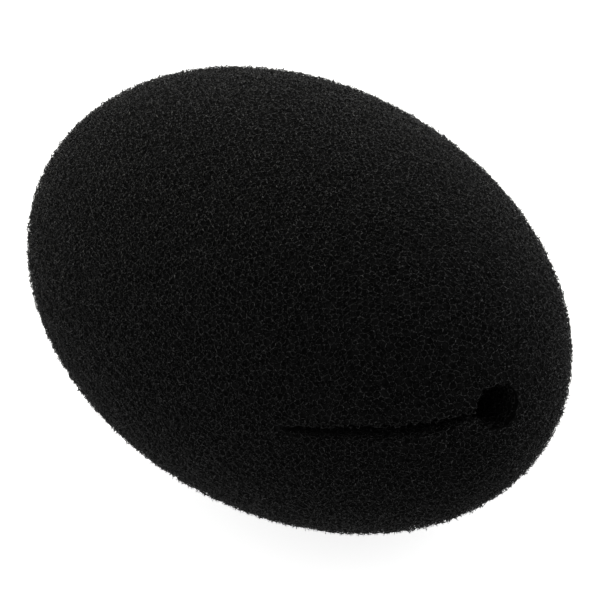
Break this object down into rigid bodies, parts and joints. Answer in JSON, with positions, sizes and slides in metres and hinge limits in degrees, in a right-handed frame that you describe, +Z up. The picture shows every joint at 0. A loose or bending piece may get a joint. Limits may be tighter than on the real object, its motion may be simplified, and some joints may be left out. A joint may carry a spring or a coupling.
{
  "type": "ellipsoidal foam windscreen",
  "caption": "Black open-cell foam windscreen shaped as an ellipsoid, with a bore for a microphone stem at one pole and a slit beside it whose lips spread.",
  "frame": {"origin": "centre of the mouth, where the microphone's stem leaves the foam", "axes": "+X out of the mouth along the long axis, -Y through the slit, +Z up"},
  "size_m": [0.1845, 0.1, 0.1],
  "materials": {
    "foam": "matt open-cell foam"
  },
  "bodies": {
    "closed_end": {"closed_end": "foam"},
    "upper_lip": {"upper_lip": "foam"},
    "lower_lip": {"lower_lip": "foam"}
  },
  "joints": [
    {"name": "upper_lip_flex", "type": "hinge", "parent": "closed_end", "child": "upper_lip", "pos_m": [-0.01575, 0.0214, 0], "axis": [-0.6926, 0.7213, 0], "range_deg": [0, 12], "stiffness_Nm_per_rad": 0.2},
    {"name": "lower_lip_flex", "type": "hinge", "parent": "closed_end", "child": "lower_lip", "pos_m": [-0.01575, 0.0214, 0], "axis": [0.6926, -0.7213, 0], "range_deg": [0, 12], "stiffness_Nm_per_rad": 0.2}
  ]
}
